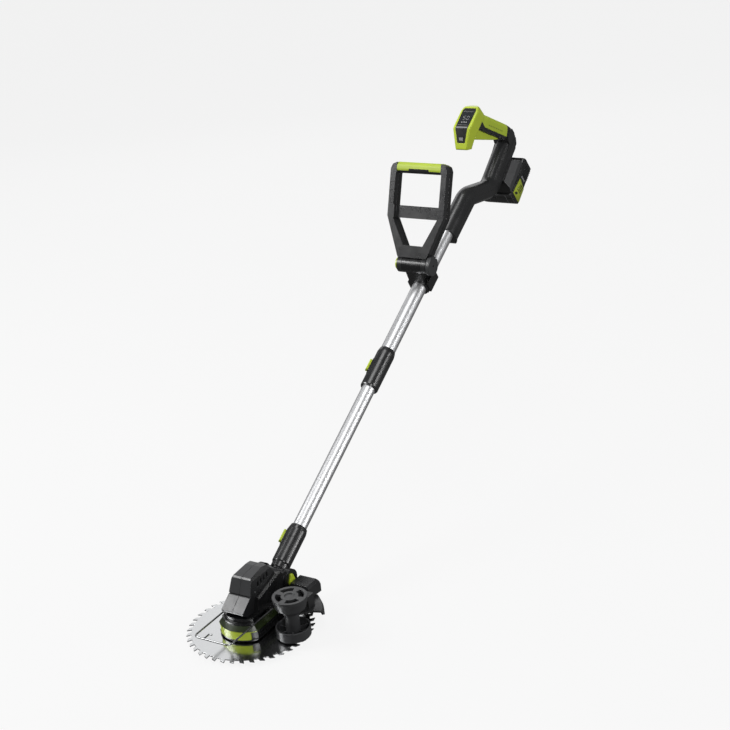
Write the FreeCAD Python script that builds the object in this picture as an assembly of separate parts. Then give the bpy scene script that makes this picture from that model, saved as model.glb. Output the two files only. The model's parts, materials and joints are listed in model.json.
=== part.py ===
"""Cordless brush cutter: saw-blade head, telescopic shaft, D-handle and rear battery grip.

Millimetres, +Z up.  X is sideways, -Y points forwards over the blade, +Y points back to the
operator.  The origin lies on the blade's axis, at the underside of the glide cup.
"""
import FreeCAD, Part
import math
import os

V = FreeCAD.Vector
os.makedirs("parts", exist_ok=True)

# --- driving dimensions -------------------------------------------------------------------
BLADE_R = 115.0            # saw blade, 230 mm over the tips
BLADE_TEETH = 40
BLADE_T = 1.8
BLADE_Z = 8.1              # underside of the blade
SPINDLE_R = 6.0
FIT = 0.05                 # radial clearance of a running fit
GAP = 0.4                  # clearance between bodies that pass each other

GEAR_MODULE = 1.0
GEAR_TEETH = 38
PINION_TEETH = 12
PRESSURE = math.radians(20.0)
GEAR_Z = 26.0
GEAR_T = 8.0
MOTOR_Y = GEAR_MODULE * (GEAR_TEETH + PINION_TEETH) / 2.0
MOTOR_R = 19.0
MOTOR_Z = 56.0
MOTOR_LONG = 52.0

BASE_R = 54.0              # green band round the front of the gear case
BASE_HALF = 41.0           # half width of its flat sides
BASE_BACK = 56.0
BAND_LOW = 15.5
BAND_MID = 30.0
BAND_TOP = 40.0
CASE_TOP = 52.0

PIVOT_Y = 88.0             # head tilt axis, along X
PIVOT_Z = 66.4
SHAFT_SLOPE = 30.75        # shaft above the horizontal, degrees
LOWER_TUBE_R = 13.5
LOWER_TUBE_WALL = 1.5
UPPER_TUBE_R = 15.0
UPPER_TUBE_BORE = 14.0
SLEEVE_R = 18.0
HEAD_SLEEVE = (24.0, 103.5)      # lengths along the shaft, from the tilt axis
LOCK_SLEEVE = (429.0, 523.0)
BUTTON_TURN = -55.0        # both sleeve buttons, from the shaft's top towards -X, degrees
TELESCOPE_TRAVEL = 250.0
LOWER_TUBE_END = 560.0
UPPER_TUBE_START = 440.0
UPPER_TUBE_END = 925.0
CLAMP = (690.0, 733.0)

HANDLE_PIVOT_S = 707.0
HANDLE_PIVOT_UP = 52.0
HANDLE_LEAN = 18.0         # D-handle behind the vertical, degrees
HANDLE_HALF = 64.0
HANDLE_TALL = 204.0
HANDLE_KNEE = 95.0
HANDLE_DEEP = 28.0
BARREL_R = 17.0
HANDLE_BOLT_R = 5.0

HOUSING_START = 838.0
BEND_1 = (905.0, 552.4)    # (y, z) where the housing's straight runs would meet
BEND_2 = (1007.8, 541.4)
CORNER = (1118.0, 631.3)
BEND_R = 45.0
HOUSING_R = 19.5
HOUSING_CAVITY = 15.0
GRIP_SLOPE = 23.8
GRIP_LONG = 176.0
GRIP_WIDE = 34.0
GRIP_TALL = 37.0
GRIP_WALL = 2.6
TRIGGER_PIVOT = (-13.5, 62.0)    # in the grip's frame: across it, along it

POD_FOOT = (897.0, 652.0)
POD_CHORD = math.degrees(math.atan2(79.0, 58.0))

DOCK = (14.0, 98.0)        # along the battery slope, from the second bend
DOCK_FACE = 40.0
PACK = (12.5, 112.0)
PACK_DEEP = 85.0
PACK_HALF = 40.0
RAIL_HEAD = 26.3
RAIL_STEM = 22.3

WHEEL_X = 89.5
WHEEL_Y = 5.5
WHEEL_R = 31.0
WHEEL_HUB_R = 13.0
WIRE_R = 1.6
WIRE_HALF = 38.0
WIRE_PIVOT = (18.0, 45.0)
WIRE_REACH = 128.0
SHIELD_R = 133.0
EAR_FACE = 35.4            # outer faces of the tilt ears


# --- frames -------------------------------------------------------------------------------
def frame_at(y, z, tilt):
    """A placement at (0, y, z) turned about X, so its own +Z leans forward by -tilt."""
    return FreeCAD.Placement(V(0, y, z), FreeCAD.Rotation(V(1, 0, 0), tilt))


SHAFT_TILT = SHAFT_SLOPE - 90.0
SHAFT = frame_at(PIVOT_Y, PIVOT_Z, SHAFT_TILT)
SHAFT_COS = math.cos(math.radians(SHAFT_SLOPE))
SHAFT_SIN = math.sin(math.radians(SHAFT_SLOPE))
HANDLE_Y = PIVOT_Y + HANDLE_PIVOT_S * SHAFT_COS - HANDLE_PIVOT_UP * SHAFT_SIN
HANDLE_Z = PIVOT_Z + HANDLE_PIVOT_S * SHAFT_SIN + HANDLE_PIVOT_UP * SHAFT_COS
HANDLE = frame_at(HANDLE_Y, HANDLE_Z, -HANDLE_LEAN)
PACK_SLOPE = math.degrees(math.atan2(CORNER[1] - BEND_2[1], CORNER[0] - BEND_2[0]))
REAR = frame_at(BEND_2[0], BEND_2[1], PACK_SLOPE - 90.0)
GRIP = frame_at(CORNER[0], CORNER[1], 90.0 - GRIP_SLOPE)
POD = frame_at(POD_FOOT[0], POD_FOOT[1], POD_CHORD - 90.0)


def placed(shape, frame):
    out = shape.copy()
    out.Placement = frame.multiply(out.Placement)
    return out


def write(name, shape):
    """Export one node, with a warning line if its solids aren't sound."""
    solids = shape.Solids
    if not solids or not all(s.isValid() for s in solids):
        print("check", name, len(solids), shape.isValid())
    target = solids[0] if len(solids) == 1 else Part.makeCompound(solids)
    target.exportStep("parts/" + name + ".step")


# --- small builders -----------------------------------------------------------------------
def box(x, y, z):
    """A block from three (low, high) pairs."""
    return Part.makeBox(x[1] - x[0], y[1] - y[0], z[1] - z[0], V(x[0], y[0], z[0]))


def rod(r, z0, z1, x=0.0, y=0.0):
    return Part.makeCylinder(r, z1 - z0, V(x, y, z0))


def ring(outer, inner, z0, z1, x=0.0, y=0.0):
    return rod(outer, z0, z1, x, y).cut(rod(inner, z0 - 1, z1 + 1, x, y))


def rod_x(r, x0, x1, y=0.0, z=0.0):
    return Part.makeCylinder(r, x1 - x0, V(x0, y, z), V(1, 0, 0))


def ring_x(outer, inner, x0, x1, y=0.0, z=0.0):
    return rod_x(outer, x0, x1, y, z).cut(rod_x(inner, x0 - 1, x1 + 1, y, z))


def rod_y(r, y0, y1, x=0.0, z=0.0):
    return Part.makeCylinder(r, y1 - y0, V(x, y0, z), V(0, 1, 0))


def slab(points, plane, low, high):
    """Extrude a closed outline.  plane names the two axes that the points are given in."""
    lift = {"yz": lambda a, b: V(low, a, b), "xz": lambda a, b: V(a, low, b),
            "xy": lambda a, b: V(a, b, low)}[plane]
    along = {"yz": V(high - low, 0, 0), "xz": V(0, high - low, 0), "xy": V(0, 0, high - low)}
    corners = [lift(a, b) for a, b in points]
    wire = Part.makePolygon(corners + corners[:1])
    return Part.Face(wire).extrude(along[plane])


def revolved(points):
    """Turn an (r, z) outline about Z."""
    corners = [V(r, 0, z) for r, z in points]
    face = Part.Face(Part.makePolygon(corners + corners[:1]))
    return face.revolve(V(0, 0, 0), V(0, 0, 1), 360)


def rounded_block(x, y, z, r, axis):
    """A block with its four edges along one axis rounded."""
    block = box(x, y, z)
    edges = [e for e in block.Edges if abs(e.tangentAt(e.FirstParameter).dot(axis)) > 0.99]
    return block.makeFillet(r, edges)


def mirrored_x(shape):
    return shape.mirror(V(0, 0, 0), V(1, 0, 0))


def both_sides(shape):
    return Part.makeCompound([shape, mirrored_x(shape)])


def spring(r, wire, z0, z1, turns):
    """A coil spring as stacked rings joined by short posts, one closed solid."""
    pitch = (z1 - z0 - 2 * wire) / turns
    rings = [Part.makeTorus(r, wire, V(0, 0, z0 + wire + i * pitch)) for i in range(turns + 1)]
    posts = []
    for i in range(turns):
        side = r if i % 2 else -r
        foot = z0 + wire + i * pitch
        posts.append(rod(wire * 0.8, foot, foot + pitch, side, 0))
    return rings[0].multiFuse(rings[1:] + posts)


def union(shapes):
    return shapes[0].multiFuse(shapes[1:]).removeSplitter()


def largest(shape):
    """The main solid of a cut, without the chips left in screw slots."""
    return max(shape.Solids, key=lambda solid: solid.Volume)


def half(shape, sign):
    """The part of a shape on one side of x = 0."""
    side = box((0, 400), (-400, 1500), (-400, 1500))
    return shape.common(side if sign > 0 else mirrored_x(side))


# --- blade head ---------------------------------------------------------------------------
def d_outline(r, side, back, low, high):
    """A round front of radius r with flat sides and a flat back."""
    block = box((-side, side), (-r, back), (low, high))
    front = rod(r, low, high)
    rear = box((-side, side), (0, back), (low, high))
    return front.fuse(rear).common(block).removeSplitter()


def make_blade():
    """Disc with raked teeth and gullets."""
    top = BLADE_Z + BLADE_T
    disc = rod(BLADE_R - 9.0, BLADE_Z, top)
    pitch = 2 * math.pi / BLADE_TEETH
    root = BLADE_R - 10.0

    def at(r, a):
        return (r * math.cos(a), r * math.sin(a))

    teeth = []
    for i in range(BLADE_TEETH):
        a = i * pitch
        outline = [at(root - 2, a - 0.42 * pitch), at(root, a - 0.34 * pitch),
                   at(BLADE_R - 3.0, a - 0.20 * pitch), at(BLADE_R, a + 0.26 * pitch),
                   at(BLADE_R - 5.0, a + 0.21 * pitch), at(root - 2, a + 0.13 * pitch)]
        teeth.append(slab(outline, "xy", BLADE_Z, top))
    blade = disc.multiFuse(teeth)
    return blade.cut(rod(SPINDLE_R + 6.7, BLADE_Z - 1, top + 1)).removeSplitter()


def involute_gear(teeth, z0, z1, bore, thin):
    """Spur gear: involute flanks in five steps, thinned by a little backlash."""
    pitch_r = GEAR_MODULE * teeth / 2.0
    base_r = pitch_r * math.cos(PRESSURE)
    tip_r = pitch_r + 0.92 * GEAR_MODULE
    root_r = pitch_r - 1.25 * GEAR_MODULE
    inv = math.tan(PRESSURE) - PRESSURE
    half_angle = math.pi / (2 * teeth) - thin / pitch_r
    steps = 5
    flank = []
    for i in range(steps + 1):
        r = max(base_r, root_r) + (tip_r - max(base_r, root_r)) * i / steps
        roll = math.acos(min(1.0, base_r / r))
        flank.append((r, half_angle + inv - (math.tan(roll) - roll)))
    foot = flank[0][1]
    points = []
    for k in range(teeth):
        mid = 2 * math.pi * k / teeth
        points.append((root_r, mid - foot))
        points += [(r, mid - a) for r, a in flank]
        points += [(r, mid + a) for r, a in reversed(flank)]
        points.append((root_r, mid + foot))
    outline = [(r * math.cos(a), r * math.sin(a)) for r, a in points]
    return slab(outline, "xy", z0, z1).cut(rod(bore, z0 - 1, z1 + 1))


def make_drive_gear():
    gear = involute_gear(GEAR_TEETH, GEAR_Z, GEAR_Z + GEAR_T, SPINDLE_R, 0.06)
    for i in range(6):
        a = math.radians(60 * i)
        hole = rod(2.6, GEAR_Z - 1, GEAR_Z + GEAR_T + 1, 12.2 * math.cos(a), 12.2 * math.sin(a))
        gear = gear.cut(hole)
    return gear


def make_pinion():
    """Pinion on the motor axis, turned half a tooth so that it is in mesh."""
    gear = involute_gear(PINION_TEETH, GEAR_Z - 0.5, GEAR_Z + GEAR_T + 0.5, 1.6, 0.06)
    contact = 90.0
    gear_phase = (contact * GEAR_TEETH / 360.0) % 1.0
    turn = (contact + 180.0) + (0.5 + gear_phase) * 360.0 / PINION_TEETH
    gear.rotate(V(0, 0, 0), V(0, 0, 1), turn)
    gear.translate(V(0, MOTOR_Y, 0))
    return gear


def make_rotor():
    """Motor shaft with its armature."""
    shaft = rod(1.6, GEAR_Z - 2, MOTOR_Z + MOTOR_LONG + 2, 0, MOTOR_Y)
    armature = rod(11.5, MOTOR_Z + 12, MOTOR_Z + MOTOR_LONG - 12, 0, MOTOR_Y)
    return shaft.fuse(armature).removeSplitter()


def make_motor_can():
    top = MOTOR_Z + MOTOR_LONG
    can = ring(MOTOR_R, 1.6 + FIT, MOTOR_Z, top, 0, MOTOR_Y)
    can = can.cut(rod(14.0, MOTOR_Z + 6, top - 6, 0, MOTOR_Y))
    for i in range(2):
        x = -16.0 + 24.0 * i
        can = can.cut(box((x, x + 8), (MOTOR_Y - 25, MOTOR_Y + 25), (top - 14, top - 7)))
    nose = ring(6.0, 1.6 + FIT, MOTOR_Z - 3.5, MOTOR_Z, 0, MOTOR_Y)
    return can.fuse(nose).removeSplitter()


def make_spindle():
    """Blade spindle with the inner flange turned on it and a threaded foot."""
    shaft = rod(SPINDLE_R, 0.0, CASE_TOP - 5)
    seat = BLADE_Z + BLADE_T
    flange = rod(19.0, seat, seat + 3.0)
    spigot = rod(SPINDLE_R + 6.65, BLADE_Z, seat)
    return union([shaft, flange, spigot])


def make_bearings():
    """Two spindle bearings, as one node of two rings."""
    lower = ring(14.0, SPINDLE_R + FIT, 16.5, 24.5)
    upper = ring(14.0, SPINDLE_R + FIT, 36.0, 44.0)
    for z in (16.5, 36.0):
        groove = ring(11.2, 9.0, z - 0.1, z + 0.7)
        lower = lower.cut(groove)
        upper = upper.cut(groove)
    return Part.makeCompound([lower, upper])


def make_glide_cup():
    """Dished foot clamped under the blade, with a well for the nut."""
    rim = BLADE_Z
    cup = revolved([(12.2, 0), (22, 0), (31, 1.6), (37, 4.8), (38, 6.4), (38, rim), (22, rim),
                    (22, 6.1), (SPINDLE_R + 0.2, 6.1), (SPINDLE_R + 0.2, 4.6), (12.2, 4.6)])
    lid = ring(22.5, SPINDLE_R + 0.2, 6.1, rim)
    return cup.fuse(lid).removeSplitter()


def make_blade_nut():
    points = [(9.8 * math.cos(math.radians(60 * i)), 9.8 * math.sin(math.radians(60 * i)))
              for i in range(6)]
    nut = slab(points, "xy", 0.0, 4.6)
    cone = revolved([(0, -1), (8.8, -1), (8.8, 0), (9.9, 1.1), (9.9, 5), (0, 5)])
    return nut.common(cone).cut(rod(SPINDLE_R, -1, 6))


def make_base_cover():
    """Black lower cover: floor, rim and the dark sides under the green bevel."""
    shell = d_outline(BASE_R - 2.2, BASE_HALF - 0.4, BASE_BACK, 12.9, BAND_MID)
    shell = shell.fuse(d_outline(BASE_R, BASE_HALF, BASE_BACK, 12.9, BAND_LOW))
    well = d_outline(BASE_R - 5.0, BASE_HALF - 3.0, BASE_BACK - 3.0, 16.0, BAND_MID + 1)
    shell = shell.cut(well)
    shell = shell.fuse(rod(17.0, 12.9, 24.5))
    shell = shell.cut(rod(14.0, 16.5, 60)).cut(rod(20.2, 10, 14.0)).cut(rod(8.0, 10, 20))
    ribs = []
    for low in (20.5, 25.5):
        rib = box((BASE_HALF - 1.5, BASE_HALF + 0.8), (-28, BASE_BACK - 2), (low, low + 1.8))
        ribs += [rib, mirrored_x(rib)]
    return union([shell] + ribs)


def make_green_band():
    """Lime band round the front, under a bevel that runs back along both sides."""
    front = ring(BASE_R, BASE_R - 2.2, BAND_LOW, BAND_MID)
    front = front.common(box((-32, 32), (-60, -38), (0, 60)))
    lip = d_outline(BASE_R, BASE_HALF, BASE_BACK, BAND_MID, BAND_MID + 1.5)
    steps = 4
    layers = [lip]
    for i in range(steps):
        shrink = 6.0 * (i + 1) / steps
        low = BAND_MID + 1.5 + (BAND_TOP - BAND_MID - 1.5) * i / steps
        high = BAND_MID + 1.5 + (BAND_TOP - BAND_MID - 1.5) * (i + 1) / steps
        layers.append(bevel_layer(shrink - 6.0 / steps, shrink, low, high))
    bevel = union(layers)
    bevel = bevel.cut(d_outline(BASE_R - 9.0, BASE_HALF - 8.5, BASE_BACK - 8, 0, 60))
    bevel = bevel.cut(box((-31, 31), (40, 60), (BAND_MID - 1, BAND_TOP + 1)))
    return bevel.fuse(front).removeSplitter()


def bevel_layer(inset_low, inset_high, low, high):
    """One sloping layer of the bevel, lofted between two D outlines."""
    wires = []
    for inset, z in ((inset_low, low), (inset_high, high)):
        flat = d_outline(BASE_R - inset, BASE_HALF - inset, BASE_BACK - inset, z - 1, z)
        top = max(flat.Faces, key=lambda f: f.CenterOfMass.z)
        wires.append(top.OuterWire)
    return Part.makeLoft(wires, True, True)


def make_gear_case():
    """Black shoulder over the gears, cheeks beside the motor and the two tilt ears."""
    skirt = d_outline(BASE_R - 9.3, BASE_HALF - 8.8, BASE_BACK - 8.3, 32.0, BAND_TOP)
    low = d_outline(BASE_R - 6.5, BASE_HALF - 6.5, BASE_BACK - 6, BAND_TOP, 44.0)
    high = d_outline(BASE_R - 10.0, BASE_HALF - 9.0, BASE_BACK - 6, 44.0, CASE_TOP)
    cheek = slab([(-16, 50), (-6, 79), (54, 95.5), (66, 93), (70, 80), (70, 40), (20, 40),
                  (-16, 46)], "yz", 23.4, 31.5)
    brow = V(31.5, 24.0, 87.25)
    cheek = cheek.makeChamfer(3.2, [e for e in cheek.Edges
                                    if e.CenterOfMass.distanceToPoint(brow) < 0.3])
    ear = rod_x(19.0, 23.4, EAR_FACE, PIVOT_Y, PIVOT_Z)
    ear = ear.fuse(slab([(58, 46), (58, 90), (PIVOT_Y - 4, 84.9), (PIVOT_Y, 47.4)], "yz",
                        23.4, 31.0))
    bridge = box((-30, 30), (48, 66), (34.0, 48.0))
    body = union([skirt, low, high, bridge, cheek, mirrored_x(cheek), ear, mirrored_x(ear)])
    body = body.cut(rod(34.0, 30, 47.0)).cut(rod(7.0, 40, 60))
    body = body.cut(rod(14.0, 34, 44.0))
    hub = ring(17.5, 14.0, 36.0, 47.5)
    body = body.fuse(hub.common(rod(18, 36.0, 47.5)))
    body = body.cut(rod(12.0, 30, 60, 0, MOTOR_Y))
    body = body.cut(rod(SPINDLE_R + 1.0, 30, 60))
    body = body.cut(rod_x(5.0, -40, 40, PIVOT_Y, PIVOT_Z))
    body = body.cut(rod_x(9.4, -40, -31, PIVOT_Y, PIVOT_Z))
    body = body.cut(teardrop(0.5, 28.4, 40.0))
    for i in range(7):
        a = math.radians(-90 + 11.0 * (i - 3))
        slot = box((37.5, 42.5), (-1.6, 1.6), (46.5, 50.0))
        slot.rotate(V(0, 0, 0), V(0, 0, 1), math.degrees(a))
        body = body.cut(slot)
    boss = ring_x(4.6, WIRE_R + FIT, 30.8, 35.5, WIRE_PIVOT[0], WIRE_PIVOT[1])
    web = box((29.0, 35.5), (WIRE_PIVOT[0] - 4.6, WIRE_PIVOT[0] + 4.6), (40.0, WIRE_PIVOT[1]))
    web = web.cut(rod_x(WIRE_R + FIT, 20, 50, WIRE_PIVOT[0], WIRE_PIVOT[1]))
    hole = rod_x(WIRE_R + FIT, 30.8, 50, WIRE_PIVOT[0], WIRE_PIVOT[1])
    body = body.cut(both_sides(hole))
    body = union([body, boss, mirrored_x(boss), web, mirrored_x(web)])
    return body.cut(rod(23.4, MOTOR_Z - 4.2, 130, 0, MOTOR_Y).common(
        box((-23.4, 23.4), (-60, 90), (40, 140))))


MOTOR_BOX = [(-46, 66), (-45, 62), (-33, 53), (20, 53), (59, 53), (62, 58), (62, 90),
             (44, 116.5), (30, 118.5), (-6, 114.5), (-9, 112), (-19.4, 84.6)]
MOTOR_ROOM = [(-34, 66), (-30, 56), (57, 55), (59.4, 60), (59.4, 89), (42.6, 113.6), (30, 115),
              (-2, 111.5), (-14, 84)]


def motor_block(outline, half_wide):
    """An outline given width, narrower towards its top."""
    block = slab(outline, "yz", -half_wide, half_wide)
    for sign in (1, -1):
        lean = slab([((half_wide - 3.0) * sign, 119), ((half_wide + 0.1) * sign, 88),
                     (30 * sign, 88), (30 * sign, 119)], "xz", -60, 90)
        block = block.cut(lean)
    return block


def make_motor_housing():
    """Shell round the motor, with vents, a screw port and a groove across the nose."""
    outer = motor_block(MOTOR_BOX, 23.0)
    for sign in (1, -1):
        shoulder = slab([(16.5 * sign, 119), (22.3 * sign, 106), (24 * sign, 119)], "xz", -60, 90)
        outer = outer.cut(shoulder)
    room = motor_block(MOTOR_ROOM, 20.4)
    shell = outer.cut(room)
    groove = slab([(-24, 83.2), (-15.5, 84.4), (-15.5, 86.2), (-24, 85.4)], "yz", -30, 30)
    shell = shell.cut(groove.cut(room))
    for i in range(4):
        y = 5.0 + 9.5 * i
        rise = 1.2 * i
        vent = slab([(y, 92 + rise), (y + 5.5, 92.8 + rise), (y + 6.5, 103 + rise),
                     (y + 1.0, 102.2 + rise)], "yz", 17.0, 26.0)
        shell = shell.cut(both_sides(vent))
    shell = shell.cut(both_sides(rod_x(2.6, 17, 26, -4, 88)))
    pilot = rod(13.0, 50, 60, 0, MOTOR_Y).common(box((-30, 30), (-60, 90), (50, 58)))
    return shell.cut(pilot).cut(rod(MOTOR_R, MOTOR_Z, MOTOR_Z + MOTOR_LONG, 0, MOTOR_Y))


def write_motor_housing():
    """The two clamshell halves, with a shallow seam where they meet."""
    seam = box((-0.35, 0.35), (-60, 90), (40, 140)).cut(
        slab(scaled(MOTOR_BOX, 0.985), "yz", -1, 1))
    shell = make_motor_housing().cut(seam)
    write("motor_housing_right", half(shell, 1))
    write("motor_housing_left", half(shell, -1))


def scaled(points, factor):
    """An outline shrunk about its own middle."""
    mid_a = sum(p[0] for p in points) / len(points)
    mid_b = sum(p[1] for p in points) / len(points)
    return [(mid_a + (a - mid_a) * factor, mid_b + (b - mid_b) * factor) for a, b in points]


def arc_points(r, start, end, steps):
    return [(r * math.cos(math.radians(start + (end - start) * i / steps)),
             r * math.sin(math.radians(start + (end - start) * i / steps)))
            for i in range(steps + 1)]


def make_shield():
    """Debris shield: shallow fender with a skirt and a raised block each side of the knuckle."""
    fender = revolved([(57.5, 46), (90, 44.5), (118, 41), (130, 36), (SHIELD_R, 28),
                       (SHIELD_R, 19), (SHIELD_R - 2.6, 19), (SHIELD_R - 2.6, 27.5),
                       (128, 34), (117, 38), (90, 41.5), (57.5, 43)])
    sector = [(0, 0), (60, 22), (89, 22), (93, 29), (118.5, 60)] + arc_points(170, 33, 134, 10)
    fender = fender.common(slab(sector, "xy", 0, 80))
    hook = slab([(0, 0)] + arc_points(170, 0, 34, 4), "xy", 0, 29)
    fender = fender.cut(hook)
    blocks = []
    linings = []
    for sign, wide in ((1, 80.0), (-1, 70.0)):
        outline = [(69, 43), (77, 66), (108, 66), (114, 54), (114, 39)]
        inside = [(75, 30), (80.5, 63.4), (106.4, 63.4), (111.4, 53.4), (111.4, 30)]
        edge = (wide + 0.1) * sign
        bevel = slab([(edge, 66.1), (edge - 4.6 * sign, 66.1), (edge, 61.5)], "xz", 0, 200)
        near, far = sorted((41.0 * sign, wide * sign))
        blocks.append(slab(outline, "yz", near, far).cut(bevel))
        linings.append(slab(inside, "yz", near + 2.6, far - 2.6))
    plate = slab([(-30, 57.6), (30, 57.6), (44, 69), (44, 90), (-44, 90), (-44, 69)], "xy", 43, 46)
    shield = union([fender, plate] + blocks).cut(Part.makeCompound(linings))
    return largest(shield.cut(box((-38.0, 38.0), (74, 112), (30, 90))))


def make_tilt_pin():
    pin = rod_x(4.9, -31.0, 26.0, PIVOT_Y, PIVOT_Z)
    head = rod_x(9.0, -34.0, -31.0, PIVOT_Y, PIVOT_Z)
    slot = box((-34.5, -32.6), (PIVOT_Y - 7, PIVOT_Y + 7), (PIVOT_Z - 1, PIVOT_Z + 1))
    return pin.fuse(head).cut(slot).cut(rod_x(2.6, 15.0, 30.0, PIVOT_Y, PIVOT_Z))


def teardrop(grow, x0, x1):
    """Outline of the tilt button and, grown a little, of its pocket in the ear."""
    wide = rod_x(8.6 + grow, x0, x1, PIVOT_Y, PIVOT_Z - 3.5)
    tip = rod_x(4.0 + grow, x0, x1, PIVOT_Y, PIVOT_Z + 8)
    side_low = 8.2 + grow
    side_high = 3.8 + grow
    web = slab([(PIVOT_Y - side_low, PIVOT_Z - 1.0), (PIVOT_Y + side_low, PIVOT_Z - 1.0),
                (PIVOT_Y + side_high, PIVOT_Z + 9.2), (PIVOT_Y - side_high, PIVOT_Z + 9.2)],
               "yz", x0, x1)
    return union([wide, tip, web])


def make_tilt_button():
    """Teardrop button pressed along -X to free the tilt joint."""
    cap = teardrop(0.0, 32.8, 38.4)
    cap = cap.makeFillet(0.9, [e for e in cap.Edges if abs(e.CenterOfMass.x - 38.4) < 0.01])
    nose = rod_x(2.2, 20.5, 33.0, PIVOT_Y, PIVOT_Z)
    return union([cap, nose])


def make_tilt_spring():
    coil = spring(1.75, 0.35, 0, 4.6, 4)
    coil.Placement = FreeCAD.Placement(V(15.2, PIVOT_Y, PIVOT_Z),
                                       FreeCAD.Rotation(V(0, 1, 0), 90))
    return coil


def make_wire_guard():
    """U-shaped plant guard: one bent wire with its ends turned into the case."""
    y0, z0 = WIRE_PIVOT
    front = y0 - WIRE_REACH
    bend = 9.0
    r = WIRE_R
    tail = rod_x(r, 31.4, WIRE_HALF, y0, z0)
    side = rod_y(r, front + bend, y0, WIRE_HALF, z0)
    elbow = Part.makeSphere(r, V(WIRE_HALF, y0, z0))
    corner = Part.makeTorus(bend, r, V(WIRE_HALF - bend, front + bend, z0))
    corner = corner.common(box((WIRE_HALF - bend, WIRE_HALF + 9), (front - 9, front + bend),
                               (z0 - 9, z0 + 9)))
    bar = rod_x(r, -(WIRE_HALF - bend), WIRE_HALF - bend, front, z0)
    hook = rod_y(r * 0.9, front + 1, front + 16, -17, z0)
    hook_end = rod_x(r * 0.9, -17, -11, front + 16, z0)
    hook_ball = Part.makeSphere(r * 0.9, V(-17, front + 16, z0))
    parts = [tail, side, elbow, corner]
    parts += [mirrored_x(p) for p in parts]
    return union(parts + [bar, hook, hook_end, hook_ball])


def make_wheel_arm(shield):
    """Narrow arm from the shield to a collar that the wheel hub turns in."""
    collar = rod(17.5, 60.0, 80.0, WHEEL_X, WHEEL_Y)
    low, high = WHEEL_X - 9.5, WHEEL_X + 8.5
    web = box((low, high), (WHEEL_Y, 64.0), (60.0, 66.5))
    post = box((low, high), (46.0, 64.0), (38.5, 66.5))
    arm = union([collar, web, post]).cut(shield)
    arm = arm.cut(rod(WHEEL_HUB_R + FIT, 50, 90, WHEEL_X, WHEEL_Y))
    return largest(arm)


def make_lower_wheel():
    """Open cup wheel with inner ribs and the hub tube moulded on it."""
    x, y = WHEEL_X, WHEEL_Y
    cup = rod(WHEEL_R - 1, 13.0, 14.5).fuse(rod(WHEEL_R, 14.5, 31.0))
    cup = cup.cut(rod(WHEEL_R - 2.6, 16.0, 32.0))
    hub = rod(WHEEL_HUB_R, 14.0, 88.5)
    ribs = []
    for i in range(6):
        rib = box((WHEEL_HUB_R - 1, WHEEL_R - 1), (-0.9, 0.9), (15.0, 25.0))
        rib.rotate(V(0, 0, 0), V(0, 0, 1), 60 * i)
        ribs.append(rib)
    wheel = union([cup, hub] + ribs).cut(rod(5.0, 40.0, 90.0))
    wheel.translate(V(x, y, 0))
    return wheel


def make_upper_wheel():
    """Spoked disc with four curved windows and a tapered skirt."""
    x, y = WHEEL_X, WHEEL_Y
    disc = rod(WHEEL_R, 86.0, 91.0).cut(rod(9.0, 89.6, 92.0))
    skirt = revolved([(WHEEL_R, 86), (27.0, 69.5), (24.6, 69.5), (WHEEL_R - 3.0, 86.5)])
    wheel = disc.fuse(skirt)
    for i in range(4):
        window = ring(25.5, 15.5, 84.0, 93.0).common(
            slab([(0, 0)] + arc_points(40, 90 * i + 13, 90 * i + 77, 4), "xy", 80, 95))
        wheel = wheel.cut(window)
    wheel = wheel.cut(rod(WHEEL_HUB_R, 84.0, 88.5))
    stud = rod(5.0, 60.0, 88.6)
    wheel = wheel.fuse(stud).removeSplitter()
    wheel.translate(V(x, y, 0))
    return wheel


def make_head_screws():
    """Case screws from below, and the screws that hold the shield."""
    screws = []
    for x, y in ((31, 46), (-31, 46), (31, -26), (-31, -26)):
        screws.append(screw_up(x, y, 12.9, 26.0))
    for x in (52.0, 70.0, -50.0, -62.0):
        screws.append(screw_up(x, 84.0, 39.6, 50.0))
    return screws


def screw_up(x, y, z, top):
    """Pan-head screw pointing up, with its head's face at z."""
    head = rod(3.0, z, z + 2.2, x, y).cut(box((x - 0.5, x + 0.5), (y - 2, y + 2), (z - 1, z + 0.9)))
    return head.fuse(rod(1.5, z + 2.0, top, x, y)).removeSplitter()


# --- shaft (all along +Z of the shaft frame, with -Y of that frame on top) ----------------
def make_neck():
    """Tilt barrel with a stub that turns inside the head sleeve."""
    barrel = rod_x(16.5, -23.0, 23.0)
    stub = rod(12.45, 8.0, 88.0)
    collar = rod(16.0, 14.0, HEAD_SLEEVE[0] - GAP)
    neck = union([barrel, stub, collar])
    neck = neck.cut(rod_x(4.9 + FIT, -30, 30))
    neck = neck.cut(rod(6.0, 22.0, 90.0))
    groove_mid = HEAD_SLEEVE[0] + 51
    neck = neck.cut(ring(13.0, 10.2, groove_mid - 3.5, groove_mid + 3.5))
    return neck.cut(rod(4.2, 5.5, 30.0)).cut(ring_x(30, 13.5, 19.5, 24)).cut(
        ring_x(30, 13.5, -24, -19.5))


def turned(shape):
    """A shape turned about the shaft, from its top towards -X, where the buttons are."""
    out = shape.copy()
    out.rotate(V(0, 0, 0), V(0, 0, 1), BUTTON_TURN)
    return out


def grip_dots(start, end, count):
    """Rows of low dots along a sleeve, on both sides of its button."""
    dots = []
    for i in range(count):
        z = start + (end - start) * i / (count - 1)
        for angle in (-38, -30, -22, 22, 30, 38):
            dot = rod_y(0.9, -SLEEVE_R - 0.4, -SLEEVE_R + 0.8, 0, z)
            dot.rotate(V(0, 0, z), V(0, 0, 1), angle)
            dots.append(turned(dot))
    return dots


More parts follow.
